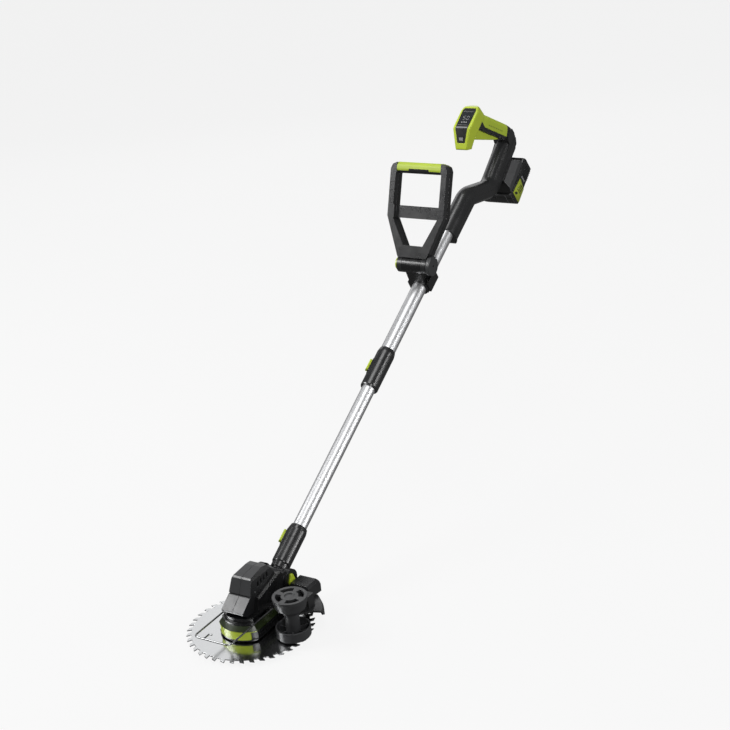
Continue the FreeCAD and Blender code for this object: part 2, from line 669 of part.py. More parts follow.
def sleeve_body(z0, z1):
    """Plain sleeve with a shoulder at its upper end and one fine groove round it."""
    body = revolved([(0, z0), (SLEEVE_R - 0.8, z0), (SLEEVE_R, z0 + 2.0), (SLEEVE_R, z1 - 9.0),
                     (SLEEVE_R - 1.0, z1 - 4.0), (SLEEVE_R - 1.9, z1), (0, z1)])
    groove = z1 - 0.36 * (z1 - z0)
    return body.cut(ring(SLEEVE_R + 1, SLEEVE_R - 0.6, groove, groove + 0.9))


def button_well(z0, z1):
    """Low flat surround for a button on a sleeve."""
    return turned(rounded_block((-8.4, 8.4), (-SLEEVE_R - 0.7, -8), (z0, z1), 4.0, V(0, 1, 0)))


def make_head_sleeve():
    z0, z1 = HEAD_SLEEVE
    outer = union([sleeve_body(z0, z1), button_well(z0 + 35, z0 + 67)]
                  + grip_dots(z0 + 8, z0 + 46, 10))
    outer = outer.cut(rod(12.5, z0 - 1, z0 + 66)).cut(rod(LOWER_TUBE_R, z0 + 66, z1 + 1))
    return cut_button_hole(outer, z0 + 38, z0 + 64, 12.5)


def cut_button_hole(sleeve, z0, z1, bore):
    hole = rounded_block((-6.4, 6.4), (-SLEEVE_R - 6, -bore + 3.0), (z0, z1), 3.0, V(0, 1, 0))
    return sleeve.cut(turned(hole))


def make_button(z0, z1, bore, pin_z, pin_depth):
    """Push button of a sleeve, with a locking pin on its underside."""
    top = -SLEEVE_R - 5.2
    cap = rounded_block((-6.0, 6.0), (top, -bore - 2.3), (z0 + 0.4, z1 - 0.4), 2.6, V(0, 1, 0))
    edges = [e for e in cap.Edges if abs(e.CenterOfMass.y - top) < 0.1]
    cap = cap.makeFillet(1.2, edges)
    pin = rod_y(2.4, -bore - 3.0, -bore + pin_depth, 0, pin_z)
    return turned(cap.fuse(pin).removeSplitter())


def make_lower_tube():
    bore = LOWER_TUBE_R - LOWER_TUBE_WALL
    tube = ring(LOWER_TUBE_R, bore, HEAD_SLEEVE[0] + 66, LOWER_TUBE_END)
    return tube.cut(turned(rod_y(2.9, -20, -8, 0, LOCK_SLEEVE[0] + 47)))


def make_guide_plug():
    end = LOWER_TUBE_END
    body = rod(UPPER_TUBE_BORE - FIT, end, end + 8)
    stem = rod(LOWER_TUBE_R - LOWER_TUBE_WALL, end - 22, end)
    return body.fuse(stem).removeSplitter().cut(rod(4.5, end - 30, end + 20))


def make_upper_tube():
    tube = ring(UPPER_TUBE_R, UPPER_TUBE_BORE, UPPER_TUBE_START, UPPER_TUBE_END)
    return tube.cut(turned(rod_y(3.2, -20, -8, 0, LOCK_SLEEVE[0] + 47)))


def make_lock_sleeve():
    """Telescope lock: grips the upper tube and guides the lower one."""
    z0, z1 = LOCK_SLEEVE
    outer = union([sleeve_body(z0, z1), button_well(z0 + 31, z0 + 63)]
                  + grip_dots(z0 + 12, z0 + 56, 11))
    outer = outer.cut(rod(LOWER_TUBE_R + FIT, z0 - 1, UPPER_TUBE_START + 1))
    outer = outer.cut(rod(UPPER_TUBE_R, UPPER_TUBE_START, z1 + 1))
    return cut_button_hole(outer, z0 + 34, z0 + 60, UPPER_TUBE_R)


def button_spring(z, bore, height):
    coil = spring(3.4, 0.4, 0, height, 3)
    coil.Placement = FreeCAD.Placement(V(0, -bore, z), FreeCAD.Rotation(V(1, 0, 0), 90))
    return turned(coil)


def make_clamp():
    """Saddle with the handle's barrel, and the cap below it."""
    z0, z1 = CLAMP
    up = -HANDLE_PIVOT_UP
    barrel = rod_x(BARREL_R, -21.5, 21.5, up, HANDLE_PIVOT_S)
    tower = slab([(up, HANDLE_PIVOT_S - 14), (up, HANDLE_PIVOT_S + 14), (-14, z1), (0, z1),
                  (0, z0), (-14, z0)], "yz", -17.0, 17.0)
    saddle = union([barrel, tower, rod(20.0, z0, z1).common(box((-30, 30), (-30, 0), (0, 900)))])
    cap = rod(20.0, z0, z1).common(box((-30, 30), (0, 30), (0, 900)))
    keel = slab([(8, z0 + 1), (8, z1), (25, z0 + 24), (25, z0 + 9)], "yz", -9.0, 9.0)
    flanges = [box((14.0, 23.5), span, (z0 + 2, z1 - 2)) for span in ((-13.0, 0.0), (0.0, 11.0))]
    saddle = union([saddle, flanges[0], mirrored_x(flanges[0])])
    cap = union([cap, keel, flanges[1], mirrored_x(flanges[1])])
    tube = rod(UPPER_TUBE_R, z0 - 5, z1 + 5)
    bolt = rod_x(HANDLE_BOLT_R + FIT, -40, 40, up, HANDLE_PIVOT_S)
    spots = [(x, z) for x in (18.9, -18.9) for z in (z0 + 11, z1 - 11)]
    holes = Part.makeCompound([rod_y(2.1, -10, 10, x, z) for x, z in spots])
    saddle = saddle.cut(tube).cut(bolt).cut(holes)
    cap = cap.cut(tube).cut(holes)
    screws = []
    for x, z in spots:
        saddle = saddle.cut(rod_y(3.4, -30.0, -6.0, x, z))
        cap = cap.cut(rod_y(3.4, 6.0, 30.0, x, z))
        screw = union([rod_y(2.1, -6.0, 6.0, x, z), rod_y(3.2, 6.0, 9.0, x, z)])
        screws.append(screw.cut(rod_y(1.5, 7.5, 10, x, z)))
        screws.append(nut_y(x, z))
    return largest(saddle), largest(cap), Part.makeCompound(screws)


def nut_y(x, z):
    points = [(x + 3.2 * math.cos(math.radians(60 * i)), z + 3.2 * math.sin(math.radians(60 * i)))
              for i in range(6)]
    return slab(points, "xz", -8.6, -6.0)


# --- D-handle (along +Z of its own frame, with -Y of that frame in front) -----------------
HANDLE_OUT = [(-33, 13), (-HANDLE_HALF, HANDLE_KNEE), (-HANDLE_HALF, HANDLE_TALL - 14),
              (-HANDLE_HALF + 4, HANDLE_TALL - 5), (-HANDLE_HALF + 13, HANDLE_TALL - 1),
              (HANDLE_HALF - 13, HANDLE_TALL - 1), (HANDLE_HALF - 4, HANDLE_TALL - 5),
              (HANDLE_HALF, HANDLE_TALL - 14), (HANDLE_HALF, HANDLE_KNEE), (33, 13)]


def make_handle():
    """The D frame, cut at mid depth into front and rear shells, plus the grip cover."""
    deep = HANDLE_DEEP / 2.0
    frame = slab(HANDLE_OUT, "xz", -deep, deep)
    window = slab([(-52, 117), (52, 117), (52, 182), (-52, 182)], "xz", -20, 20)
    lower = slab([(-50.5, 92), (50.5, 92), (22, 37), (-22, 37)], "xz", -20, 20)
    frame = frame.cut(window).cut(lower)
    setback = box((-49, 49), (-20, -deep + 9), (92, 117))
    frame = frame.cut(setback)
    teeth = [box((-44 + 8 * i, -40.5 + 8 * i), (-20, 20), (115.4, 118)) for i in range(12)]
    frame = frame.cut(Part.makeCompound(teeth))
    ears = [ring_x(BARREL_R, HANDLE_BOLT_R + FIT, 22.0, 33.0),
            box((22.0, 33.0), (-11, 11), (4, 24)).cut(rod_x(HANDLE_BOLT_R + FIT, 0, 50))]
    frame = union([frame] + ears + [mirrored_x(e) for e in ears])
    frame = frame.cut(rod_x(BARREL_R + 0.6, -21.9, 21.9))
    frame = frame.cut(both_sides(rod_x(20.6, 33.05, 60)))
    recess = rod_x(13.4, -33.1, -28.5)
    frame = frame.cut(recess)
    bar = box((-50, 50), (-deep, deep), (182, HANDLE_TALL - 1))
    core = rounded_block((-50, 50), (-deep + 2.2, deep - 2.2), (184.2, HANDLE_TALL - 3.2), 7.0,
                         V(1, 0, 0))
    skin = rounded_block((-50, 50), (-deep, deep), (182, HANDLE_TALL), 9.0, V(1, 0, 0)).cut(core)
    notch = slab([(-27, 178), (27, 178), (22, 190.5), (-22, 190.5)], "xz", -20, -deep + 3.0)
    chin = box((-60, 60), (-20, 20), (178, 186.5))
    cover = skin.cut(notch).cut(chin)
    frame = frame.cut(bar).fuse(core).fuse(skin.common(union([notch, chin]))).removeSplitter()
    groove_outer = slab(HANDLE_OUT, "xz", -0.5, 0.5).cut(
        slab(scaled_x(HANDLE_OUT, 1.5), "xz", -0.5, 0.5))
    frame = frame.cut(groove_outer)
    front = largest(frame.common(box((-80, 80), (-30, 0), (-30, 230))))
    rear = largest(frame.common(box((-80, 80), (0, 30), (-30, 230))))
    return front, rear, cover


def scaled_x(points, inset):
    """The handle outline moved in by a little, for the seam groove."""
    middle = HANDLE_TALL / 2.0
    out = []
    for x, z in points:
        out.append((x - inset * (1 if x > 0 else -1), z - inset * (1 if z > middle else -1)))
    return out


def make_handle_bolt():
    """Pivot bolt with its large round end cap on the +X side."""
    shank = rod_x(HANDLE_BOLT_R, -28.0, 36.5)
    washer = rod_x(15.0, 33.3, 35.8)
    cap = rod_x(20.0, 35.8, 43.5)
    cap = cap.makeFillet(1.2, [e for e in cap.Edges if abs(e.CenterOfMass.x - 43.5) < 0.1])
    return union([shank, washer, cap]).cut(rod_x(2.4, 40.5, 45)).cut(rod_x(2.5, -29, -20))


def make_handle_button():
    disc = rod_x(13.0, -38.5, -32.4)
    disc = disc.makeFillet(2.0, [e for e in disc.Edges if abs(e.CenterOfMass.x + 38.5) < 0.1])
    return disc.fuse(rod_x(2.1, -33, -23.5)).removeSplitter()


# --- rear housing -------------------------------------------------------------------------
def housing_path():
    """Straight runs joined by arcs from the tube end to the grip's corner."""
    start_y = PIVOT_Y + HOUSING_START * SHAFT_COS
    start_z = PIVOT_Z + HOUSING_START * SHAFT_SIN
    corners = [V(0, start_y, start_z), V(0, *BEND_1), V(0, *BEND_2), V(0, *CORNER)]
    edges = []
    here = corners[0]
    for i in (1, 2):
        before = (corners[i - 1] - corners[i]).normalize()
        after = (corners[i + 1] - corners[i]).normalize()
        turn = math.pi - before.getAngle(after)
        reach = BEND_R * math.tan(turn / 2)
        start = corners[i] + before * reach
        end = corners[i] + after * reach
        bisector = (before + after).normalize()
        centre = corners[i] + bisector * math.hypot(reach, BEND_R)
        middle = centre - bisector * BEND_R
        edges.append(Part.LineSegment(here, start).toShape())
        edges.append(Part.Arc(start, middle, end).toShape())
        here = end
    edges.append(Part.LineSegment(here, corners[3]).toShape())
    return Part.Wire(edges)


def swept(profile_wire):
    profile_wire.Placement = frame_at(PIVOT_Y + HOUSING_START * SHAFT_COS,
                                      PIVOT_Z + HOUSING_START * SHAFT_SIN, SHAFT_TILT)
    return housing_path().makePipeShell([profile_wire], True, False)


def housing_profile():
    """Round upper half over a wider, flat-sided lower half."""
    r = HOUSING_R
    half_wide = r + 1.4
    left = V(-r, 1.5, 0)
    right = V(r, 1.5, 0)
    arc = Part.Arc(right, V(0, 1.5 - r, 0), left).toShape()
    down = [left, V(-half_wide, 2.5, 0), V(-half_wide, 15.0, 0), V(-12.5, 22.0, 0),
            V(12.5, 22.0, 0), V(half_wide, 15.0, 0), V(half_wide, 2.5, 0), right]
    lines = [Part.LineSegment(a, b).toShape() for a, b in zip(down[:-1], down[1:])]
    return Part.Wire([arc] + lines)


def cavity_profile():
    return Part.Wire(Part.Circle(V(0, 0, 0), V(0, 0, 1), HOUSING_CAVITY).toShape())


def grip_solid(shrink, z0, z1):
    """Rounded grip section along the grip frame."""
    x = GRIP_WIDE / 2 - shrink
    y = GRIP_TALL / 2 - shrink
    return rounded_block((-x, x), (-y, y), (z0, z1), 12.0 - shrink, V(0, 0, 1))


def corner_knob(r, half_wide):
    return rod_x(r, -half_wide, half_wide, CORNER[0] - 15.0, CORNER[1])


def rear_trim(inset):
    """Everything behind the corner where the grip meets the housing."""
    line = [(1115, 540), (1117.5, 590), (1118.5, 616), (1116, 638), (1103, 653), (1088, 664)]
    edge = [(y - inset, z - inset * 0.7) for y, z in line]
    return slab(edge + [(1088, 720), (1200, 720), (1200, 540)], "yz", -60, 60)


def housing_outer():
    """The swept housing with the gusset at the grip's corner."""
    knob = corner_knob(18.5, 18.5)
    web = slab([(1079, 573), (1112, 598), (1128, 612), (1120, 640), (1090, 620), (1062, 590)],
               "yz", -18.5, 18.5)
    return union([swept(housing_profile()), knob, web]).cut(rear_trim(0.0))


def make_housing(outer):
    """Hollow S-shaped housing with its grip, still in one piece."""
    grip = placed(grip_solid(0.0, 0.0, GRIP_LONG), GRIP).cut(rear_trim(0.0))
    body = union([outer, grip])
    hollow = placed(grip_solid(GRIP_WALL, 0.0, GRIP_LONG + 5), GRIP)
    for room in (swept(cavity_profile()), hollow, corner_knob(15.0, 15.0)):
        body = body.cut(room.cut(rear_trim(3.0)))
    lug = rod_x(7.0, -10.0, 10.0)
    lug = lug.fuse(box((-10, 10), (-9, 0), (-7, 7)))
    lug.translate(V(0, 27.5, HOUSING_START + 9))
    lug = placed(lug, SHAFT)
    body = body.fuse(lug.cut(outer))
    eye = rod_x(3.5, -14, 14)
    eye.translate(V(0, 28.5, HOUSING_START + 9))
    body = body.cut(placed(eye, SHAFT))
    body = body.cut(placed(rod(UPPER_TUBE_R, HOUSING_START - 5, UPPER_TUBE_END), SHAFT))
    slot = placed(box((-8.3, 8.3), (-GRIP_TALL, 2.0), (TRIGGER_PIVOT[1] - 8, 171)), GRIP)
    return body.cut(slot)


def screw_x(y, z, reach):
    """Housing screw along X, with its head on the -X side."""
    head = rod_x(3.2, -reach, -reach + 2.4, y, z)
    socket = rod_x(1.5, -reach - 1, -reach + 1.2, y, z)
    return head.fuse(rod_x(1.6, -reach + 2.2, 6, y, z)).cut(socket)


def make_inlay():
    """Green cover over the top and most of the flanks of the grip."""
    skin = grip_solid(0.0, 38.0, 166.0).cut(grip_solid(2.0, 30.0, 170.0))
    top = slab([(-9.5, 30), (-9.5, 146), (3.0, 170), (30, 170), (30, 30)], "yz", -20, 20)
    return placed(skin.common(top), GRIP)


POD_SIDE = [(897, 652), (905, 697), (955, 731), (967, 731), (975, 709), (929, 676), (917, 650)]
POD_FRONT = [(7, -4), (11.5, -1), (14, 5), (20.5, 42), (21, 50), (20.5, 86), (18, 95), (13, 102),
             (8, 105)]
FASCIA_FRONT = [(8.5, 13), (9.2, 15), (14.5, 43), (15.5, 88), (13.0, 94)]


def outline_prism(points, low, high):
    """A symmetric outline in the pod frame, extruded along its Y."""
    right = list(points)
    left = [(-x, z) for x, z in reversed(points)]
    return placed(slab(right + left, "xz", low, high), POD)


def face_band(depth, out):
    """The zone just inside the pod's bent front face."""
    chord = math.radians(POD_CHORD)
    dy, dz = math.sin(chord), -math.cos(chord)
    front = POD_SIDE[:3]
    skin = [(y - dy * out, z - dz * out) for y, z in front]
    back = [(y + dy * depth, z + dz * depth) for y, z in reversed(front)]
    return slab(skin + back, "yz", -30, 30)


def front_rim(block):
    """The edges where the pod's bent front meets its sides."""
    rim = []
    for edge in block.Edges:
        near = []
        for (y0, z0), (y1, z1) in zip(POD_SIDE[:2], POD_SIDE[1:3]):
            across = V(0, z0 - z1, y1 - y0).normalize()
            near.append(abs((edge.CenterOfMass - V(0, y0, z0)).dot(across)) < 0.3)
        if near[0] != near[1]:
            rim.append(edge)
    return rim


def make_pod():
    """Green bezel, black fascia, display window and light button."""
    block = slab(POD_SIDE, "yz", -24, 24).common(outline_prism(POD_FRONT, -60, 60))
    block = block.makeFillet(3.0, front_rim(block))
    hollow_side = scaled(POD_SIDE, 0.80)
    hollow = slab(hollow_side, "yz", -24, 24).common(
        outline_prism([(max(0.5, x - 3.2), z * 0.93 + 4) for x, z in POD_FRONT], -60, 60))
    fascia = block.common(face_band(3.4, 5)).common(outline_prism(FASCIA_FRONT, -60, 60))
    hollow = hollow.cut(face_band(4.2, 5))
    bezel = block.cut(hollow).cut(fascia)
    entry = placed(grip_solid(0.0, 120.0, GRIP_LONG), GRIP)
    bezel = bezel.cut(entry)
    key_well = outline_prism([(4.6, 17.1), (5.2, 23.4)], -60, 60)
    bezel = bezel.cut(key_well.common(face_band(7.0, 5)))
    lens_zone = outline_prism([(11.0, 50), (11.5, 84)], -60, 60)
    lens = fascia.common(lens_zone).common(face_band(1.2, 5))
    button_zone = outline_prism([(4.2, 17.5), (4.8, 23.0)], -60, 60)
    button_hole = fascia.common(key_well)
    button = button_zone.common(face_band(3.0, 1.0)).common(slab(grown_side(), "yz", -24, 24))
    fascia = fascia.cut(lens).cut(button_hole)
    return bezel, fascia, lens, button


def grown_side():
    """The pod's side outline pushed forward a little, for the proud button."""
    return [(894, 650), (902.3, 698)] + POD_SIDE[2:]


def make_trigger():
    """Green lever under the grip, hinged at its rear end."""
    y, z = TRIGGER_PIVOT
    side = [(-9, z), (-19.5, z), (-24.5, 78), (-39.5, 164), (-36, 168), (-21, 168), (-8.5, 154)]
    blade = slab(side, "yz", -7.6, 7.6)
    long_edges = [e for e in blade.Edges
                  if abs(abs(e.CenterOfMass.x) - 7.6) < 0.1 and e.CenterOfMass.y < -28]
    lever = blade.makeFillet(2.0, long_edges).fuse(rod_x(6.0, -7.6, 7.6, y, z))
    return placed(lever.removeSplitter().cut(rod_x(2.5 + FIT, -20, 20, y, z)), GRIP)


def make_trigger_pin():
    return placed(rod_x(2.5, -13.9, 13.9, *TRIGGER_PIVOT), GRIP)


def make_switch():
    body = box((-7, 7), (4.0, 14.5), (92, 122))
    terminals = [box((x - 1, x + 1), (8, 12), (122, 128)) for x in (-4, 4)]
    return placed(union([body] + terminals), GRIP)


def make_lock_button():
    """Small lock-off button in the top of the grip, pressed down."""
    cap = rounded_block((-5.5, 5.5), (17.6, 21.0), (136, 150), 3.0, V(0, 1, 0))
    stem = box((-4, 4), (14.6, 18.0), (138.5, 147.5))
    return placed(cap.fuse(stem).removeSplitter(), GRIP)


def lock_button_hole():
    hole = rounded_block((-6.0, 6.0), (12.0, 24.0), (135.5, 150.5), 3.3, V(0, 1, 0))
    return placed(hole, GRIP)


# --- battery and dock (along +Z of the rear frame, +Y of that frame faces the pack) -------
def make_dock(housing):
    """Dock under the housing, with a rail channel open at its upper end."""
    z0, z1 = DOCK
    section = [(17, 12), (24, 16.5), (35.5, 29), (37.5, DOCK_FACE), (-37.5, DOCK_FACE),
               (-35.5, 29), (-24, 16.5), (-17, 12)]
    dock = slab(section, "xy", z0, z1)
    toe = slab([(10, z0 - 1), (42, z0 - 1), (42, z0 + 0.5), (24, z0 + 12), (10, z0 + 20)],
               "yz", -50, 50)
    dock = dock.cut(toe)
    head = slab([(10, z1 + 1), (30, z1 + 1), (20, z1 - 7), (10, z1 - 12)], "yz", -50, 50)
    dock = dock.cut(head)
    channel = box((-27.0, 27.0), (27.0, 36.0), (z0 + 12, z1 + 2))
    mouth = box((-23.0, 23.0), (35.5, DOCK_FACE + 1), (z0 + 12, z1 + 2))
    dock = placed(dock.cut(channel).cut(mouth), REAR)
    return dock.cut(housing)


def make_terminal_block():
    base = box((-20, 20), (28, 35), (DOCK[0] + 12, DOCK[0] + 17))
    blades = [box((x - 0.5, x + 0.5), (29.5, 33.5), (DOCK[0] + 16, DOCK[0] + 26))
              for x in (-13, 0, 13)]
    return placed(union([base] + blades), REAR)


def make_control_board():
    board = box((-12, 12), (4.0, 5.6), (18, 78))
    chips = [box((-8, 0), (2.0, 4.0), (30, 40)), box((3, 9), (1.5, 4.0), (52, 64)),
             rod_y(3.0, -3.0, 4.0, 5, 44), rod_y(3.0, -3.0, 4.0, -6, 56)]
    return placed(union([board] + chips), REAR)


def make_pack():
    """Battery case with its rail shoe, hollow for the cells."""
    z0, z1 = PACK
    deep0 = DOCK_FACE + GAP
    case = rounded_block((-PACK_HALF, PACK_HALF), (deep0, PACK_DEEP), (z0, z1), 6.0, V(0, 0, 1))
    toe = slab([(deep0 + 30, z0 - 1), (PACK_DEEP + 1, z0 - 1), (PACK_DEEP + 1, z0 + 7)], "yz",
               -50, 50)
    case = case.cut(toe)
    belt = box((-50, 50), (deep0 + 14.0, deep0 + 15.4), (z0 - 1, z1 + 1)).cut(
        box((-PACK_HALF + 1.0, PACK_HALF - 1.0), (0, 100), (z0 + 1.0, z1 - 1.0)))
    case = case.cut(belt)
    for i in range(5):
        y = deep0 + 18.5 + 4.6 * i
        rib_gap = box((PACK_HALF - 1.4, PACK_HALF + 1), (y, y + 2.4), (z1 - 34, z1 - 6))
        case = case.cut(both_sides(rib_gap))
    cell_room = box((-PACK_HALF + 3, PACK_HALF - 3), (deep0 + 5.5, PACK_DEEP - 4), (z0 + 12, z1 - 12))
    stem = box((-RAIL_STEM, RAIL_STEM), (35.0, deep0 + 1), (z0 + 20, z1 - 16))
    head = box((-RAIL_HEAD, RAIL_HEAD), (27.8, 35.2), (z0 + 20, z1 - 16))
    slots = [box((x - 1.5, x + 1.5), (28.6, 34.4), (z0 + 19, z0 + 32)) for x in (-13, 0, 13)]
    body = union([case, stem, head]).cut(cell_room).cut(Part.makeCompound(slots))
    latch_bay = box((-13.5, 13.5), (deep0 + 2.0, deep0 + 13.0), (z1 - 9.0, z1 + 1))
    return placed(body.cut(latch_bay), REAR)


def make_cells():
    """Five cells in a row across the pack."""
    cells = []
    y = DOCK_FACE + GAP + 5.5 + 11.0
    for i in range(3):
        cells.append(rod(9.1, PACK[0] + 14, PACK[0] + 79, -24.0 + 24.0 * i, y - 1.0))
    for i in range(2):
        cells.append(rod(9.1, PACK[0] + 14, PACK[0] + 79, -12.0 + 24.0 * i, y + 14.6))
    return placed(Part.makeCompound(cells), REAR)


def make_latch():
    """Release latch in the pack's upper end, pressed in."""
    y0 = DOCK_FACE + GAP + 2.4
    z1 = PACK[1]
    pad = box((-13.0, 13.0), (y0, y0 + 10.2), (z1 - 5.0, z1 + 2.0))
    for i in range(3):
        pad = pad.cut(box((-11, 11), (y0 + 2.2 + 2.4 * i, y0 + 3.4 + 2.4 * i), (z1 + 1, z1 + 3)))
    return placed(pad, REAR)


# --- leads --------------------------------------------------------------------------------
def make_coiled_lead():
    """Outer shape of the curly lead that lets the shaft telescope."""
    return ring(8.5, 3.0, LOWER_TUBE_END + 10, UPPER_TUBE_END - 8)


def make_shaft_lead():
    return rod(3.2, 92.0, LOWER_TUBE_END + 8.0)


# --- build --------------------------------------------------------------------------------
def build_head():
    write("saw_blade", make_blade())
    write("drive_gear", make_drive_gear())
    write("motor_pinion", make_pinion())
    write("motor_rotor", make_rotor())
    write("motor_can", make_motor_can())
    write("blade_spindle", make_spindle())
    write("spindle_bearings", make_bearings())
    write("glide_cup", make_glide_cup())
    write("blade_nut", make_blade_nut())
    screws = make_head_screws()
    hardware = Part.makeCompound(screws)
    write("base_cover", largest(make_base_cover().cut(hardware)))
    write("green_band", make_green_band())
    case = make_gear_case()
    write("gear_case", case)
    write_motor_housing()
    shield = make_shield().cut(hardware).cut(case)
    write("rear_shield", shield)
    write("head_screws", hardware)
    write("tilt_pin", make_tilt_pin())
    write("tilt_button", make_tilt_button())
    write("tilt_spring", make_tilt_spring())
    write("wire_guard", make_wire_guard())
    write("wheel_arm", make_wheel_arm(shield))
    write("lower_wheel", make_lower_wheel())
    write("upper_wheel", make_upper_wheel())


def build_shaft():
    write("neck_yoke", placed(make_neck(), SHAFT))
    write("head_sleeve", placed(make_head_sleeve(), SHAFT))
    head_z = HEAD_SLEEVE[0]
    write("swivel_button", placed(make_button(head_z + 38, head_z + 64, 12.5, head_z + 51, -0.4),
                                  SHAFT))
    write("lower_tube", placed(make_lower_tube(), SHAFT))
    write("guide_plug", placed(make_guide_plug(), SHAFT))
    write("shaft_lead", placed(make_shaft_lead(), SHAFT))
    write("upper_tube", placed(make_upper_tube(), SHAFT))
    write("lock_sleeve", placed(make_lock_sleeve(), SHAFT))
    lock_z = LOCK_SLEEVE[0]
    write("telescope_button", placed(make_button(lock_z + 34, lock_z + 60, UPPER_TUBE_R,
                                                 lock_z + 47, -1.4), SHAFT))
    write("telescope_spring", placed(button_spring(lock_z + 47, UPPER_TUBE_R, 2.2), SHAFT))
    write("coiled_lead", placed(make_coiled_lead(), SHAFT))
    saddle, cap, screws = make_clamp()
    write("clamp_saddle", placed(saddle, SHAFT))
    write("clamp_cap", placed(cap, SHAFT))
    write("clamp_screws", placed(screws, SHAFT))


def build_handle():
    front, rear, cover = make_handle()
    write("handle_front_shell", placed(front, HANDLE))
    write("handle_rear_shell", placed(rear, HANDLE))
    write("handle_grip_cover", placed(cover, HANDLE))
    write("handle_pivot_bolt", placed(make_handle_bolt(), HANDLE))
    write("handle_lock_button", placed(make_handle_button(), HANDLE))


def build_rear():
    outer = housing_outer()
    body = make_housing(outer)
    inlay = make_inlay()
    hole = lock_button_hole()
    pin = make_trigger_pin()
    spots = [(850.0, 498.5, 16.0), (935.0, 529.0, 17.5), (1050.0, 562.0, 17.0),
             (1106.0, 611.0, 17.0)]
    screws = Part.makeCompound([screw_x(y, z, reach) for y, z, reach in spots])
    body = body.cut(inlay).cut(hole).cut(pin)
    for y, z, reach in spots:
        body = body.cut(rod_x(3.4, -30, -reach, y, z))
    write("housing_right", largest(half(body, 1).cut(screws)))
    write("housing_left", largest(half(body, -1).cut(screws)))
    write("grip_inlay", inlay.cut(hole))
    write("housing_screws", screws)
    bezel, fascia, lens, button = make_pod()
    write("pod_bezel", bezel)
    write("pod_fascia", fascia)
    write("display_lens", lens)
    write("light_button", button)
    write("trigger", make_trigger())
    write("trigger_pin", pin)
    write("trigger_switch", make_switch())
    write("lock_off_button", make_lock_button())
    write("battery_dock", make_dock(outer))
    write("terminal_block", make_terminal_block())
    write("control_board", make_control_board())
    write("battery_case", make_pack())
    write("battery_cells", make_cells())
    write("battery_latch", make_latch())


build_head()
build_shaft()
build_handle()
build_rear()
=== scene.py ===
import json
import math

import bmesh
import bpy
from mathutils import Matrix, Vector


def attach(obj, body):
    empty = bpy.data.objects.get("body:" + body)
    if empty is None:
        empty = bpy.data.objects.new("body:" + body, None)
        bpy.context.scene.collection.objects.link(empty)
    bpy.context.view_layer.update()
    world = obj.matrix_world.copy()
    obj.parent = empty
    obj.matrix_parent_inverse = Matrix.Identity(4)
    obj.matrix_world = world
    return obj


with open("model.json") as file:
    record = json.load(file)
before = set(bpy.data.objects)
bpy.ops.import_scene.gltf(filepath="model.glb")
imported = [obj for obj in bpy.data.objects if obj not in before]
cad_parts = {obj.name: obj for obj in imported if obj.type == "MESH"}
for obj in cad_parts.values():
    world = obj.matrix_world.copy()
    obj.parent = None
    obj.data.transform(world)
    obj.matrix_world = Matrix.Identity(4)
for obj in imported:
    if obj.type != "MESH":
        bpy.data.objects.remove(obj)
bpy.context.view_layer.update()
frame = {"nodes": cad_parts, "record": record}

NODES = frame["nodes"]

# --- camera: fitted to the disc's ellipse and the straight shaft ---------------------------
SENSOR = 36.0                                  # millimetres
LENS = 71.517205                               # millimetres
AZIMUTH = math.radians(33.01)
ELEVATION = math.radians(21.49)
ROLL = math.radians(-5.43)
BLADE_CENTRE = Vector((0, 0, 0.009))
DISTANCE = 2.62654                             # from the camera to the blade's centre
AIM = Vector((-0.07863689, -0.18071176, -1.0))  # that centre in view: right, up, back
CLIP_END = 200.0

# --- studio ---------------------------------------------------------------------------------
FLOOR_RADIUS = 30.0
FLOOR_STEPS = 96
FLOOR_DROP = 0.0005                            # keeps it clear of what stands on it
SURROUND = (0.9, 0.9, 0.9, 1)
SURROUND_STRENGTH = 0.13
LIGHTS = (                                     # name, place, target, size, watts
    ("key", (-2.3, -1.1, 2.2), (0, 0.5, 0.3), (1.5, 1.5), 92.0),
    ("top", (0.2, 0.3, 3.0), (0, 0.5, 0.3), (0.9, 2.4), 26.0),
    ("front", (2.3, -1.7, 1.7), (0, 0.4, 0.3), (0.5, 1.6), 26.0),
    ("edge", (2.6, 1.2, 0.9), (0, 0.5, 0.3), (0.35, 2.2), 26.0),
    ("back", (-2.0, 3.2, 1.75), (0, 0.2, 0.2), (3.4, 2.0), 20.0),
)


def add_camera():
    """A camera that looks past the blade's centre, so that it lies where AIM says."""
    back = Vector((math.sin(AZIMUTH) * math.cos(ELEVATION),
                   -math.cos(AZIMUTH) * math.cos(ELEVATION), math.sin(ELEVATION)))
    right = Vector((math.cos(AZIMUTH), math.sin(AZIMUTH), 0))
    up = back.cross(right)
    turned_right = math.cos(ROLL) * right + math.sin(ROLL) * up
    turned_up = -math.sin(ROLL) * right + math.cos(ROLL) * up
    axes = Matrix((turned_right, turned_up, back)).transposed()
    data = bpy.data.cameras.new("camera")
    data.sensor_width = SENSOR
    data.lens = LENS
    data.clip_end = CLIP_END
    camera = bpy.data.objects.new("camera", data)
    place = BLADE_CENTRE - axes @ (AIM.normalized() * DISTANCE)
    camera.matrix_world = Matrix.Translation(place) @ axes.to_4x4()
    bpy.context.scene.collection.objects.link(camera)
    bpy.context.scene.camera = camera


def add_light(name, place, target, size, watts):
    """A soft box that the camera itself doesn't see."""
    data = bpy.data.lights.new(name, "AREA")
    data.shape = "RECTANGLE"
    data.size, data.size_y = size
    data.energy = watts
    lamp = bpy.data.objects.new(name, data)
    aim = (Vector(target) - Vector(place)).to_track_quat("-Z", "Y")
    lamp.matrix_world = Matrix.Translation(place) @ aim.to_matrix().to_4x4()
    lamp.visible_camera = False
    bpy.context.scene.collection.objects.link(lamp)


def circle(radius, steps):
    """Corners of a circle round the origin."""
    turns = [2 * math.pi * i / steps for i in range(steps)]
    return [(radius * math.cos(turn), radius * math.sin(turn)) for turn in turns]


